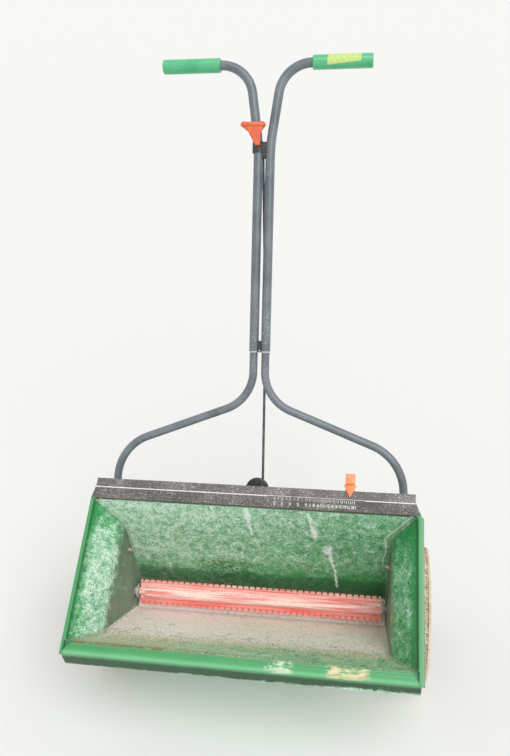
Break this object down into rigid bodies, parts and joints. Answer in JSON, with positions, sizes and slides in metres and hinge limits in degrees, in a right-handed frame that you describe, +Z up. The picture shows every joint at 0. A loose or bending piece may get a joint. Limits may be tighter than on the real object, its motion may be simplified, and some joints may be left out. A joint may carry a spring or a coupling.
{
  "type": "drop spreader",
  "caption": "Walk-behind drop spreader: moulded trough hopper on a wheel axle that turns a notched agitator, with a tubular T handle.",
  "frame": {"origin": "on the ground under the middle of the whole machine's box", "axes": "+X across the machine to the user's left as it is pushed, +Y back towards the handle, +Z up; it travels towards -Y"},
  "size_m": [0.6812, 0.7387, 1.0858],
  "materials": {
    "hopper_green": "moulded, dusty",
    "panel_grey": "satin",
    "tube_black": "worn powder coat",
    "grip_green": "soft vinyl",
    "black_plastic": "moulded",
    "orange_plastic": "moulded",
    "agitator_red": "moulded",
    "bush_grey": "moulded",
    "wheel_black": "moulded, dusty",
    "bare_steel": "zinc plated"
  },
  "bodies": {
    "frame": {"hopper": "hopper_green", "scale_panel": "panel_grey", "shutter": "bare_steel", "shutter_rail_front": "bare_steel", "shutter_rail_rear": "bare_steel", "bush_left": "bush_grey", "bush_right": "bush_grey", "lower_tube_left": "tube_black", "lower_tube_right": "tube_black", "upper_tube_left": "tube_black", "upper_tube_right": "tube_black", "grip_left": "grip_green", "grip_right": "grip_green", "tube_clip": "black_plastic", "trigger_bracket": "black_plastic", "trigger": "orange_plastic", "control_rod": "bare_steel", "crank_disc": "black_plastic", "crank_bracket": "black_plastic", "rate_pointer": "orange_plastic", "rest_stand": "tube_black", "shutter_lever": "bare_steel", "stand_saddle_left": "bare_steel", "stand_saddle_right": "bare_steel"},
    "drive": {"axle": "bare_steel", "agitator": "agitator_red", "wheel_left": "wheel_black", "axle_cap_left": "bare_steel", "axle_cap_right": "bare_steel"},
    "free_wheel": {"wheel_right": "wheel_black"}
  },
  "joints": [
    {"name": "axle_spin", "type": "hinge", "parent": "frame", "child": "drive", "pos_m": [0, -0.12292, 0.127], "axis": [1, 0, 0], "continuous": true},
    {"name": "right_wheel_spin", "type": "hinge", "parent": "frame", "child": "free_wheel", "pos_m": [0, -0.12292, 0.127], "axis": [1, 0, 0], "continuous": true}
  ]
}
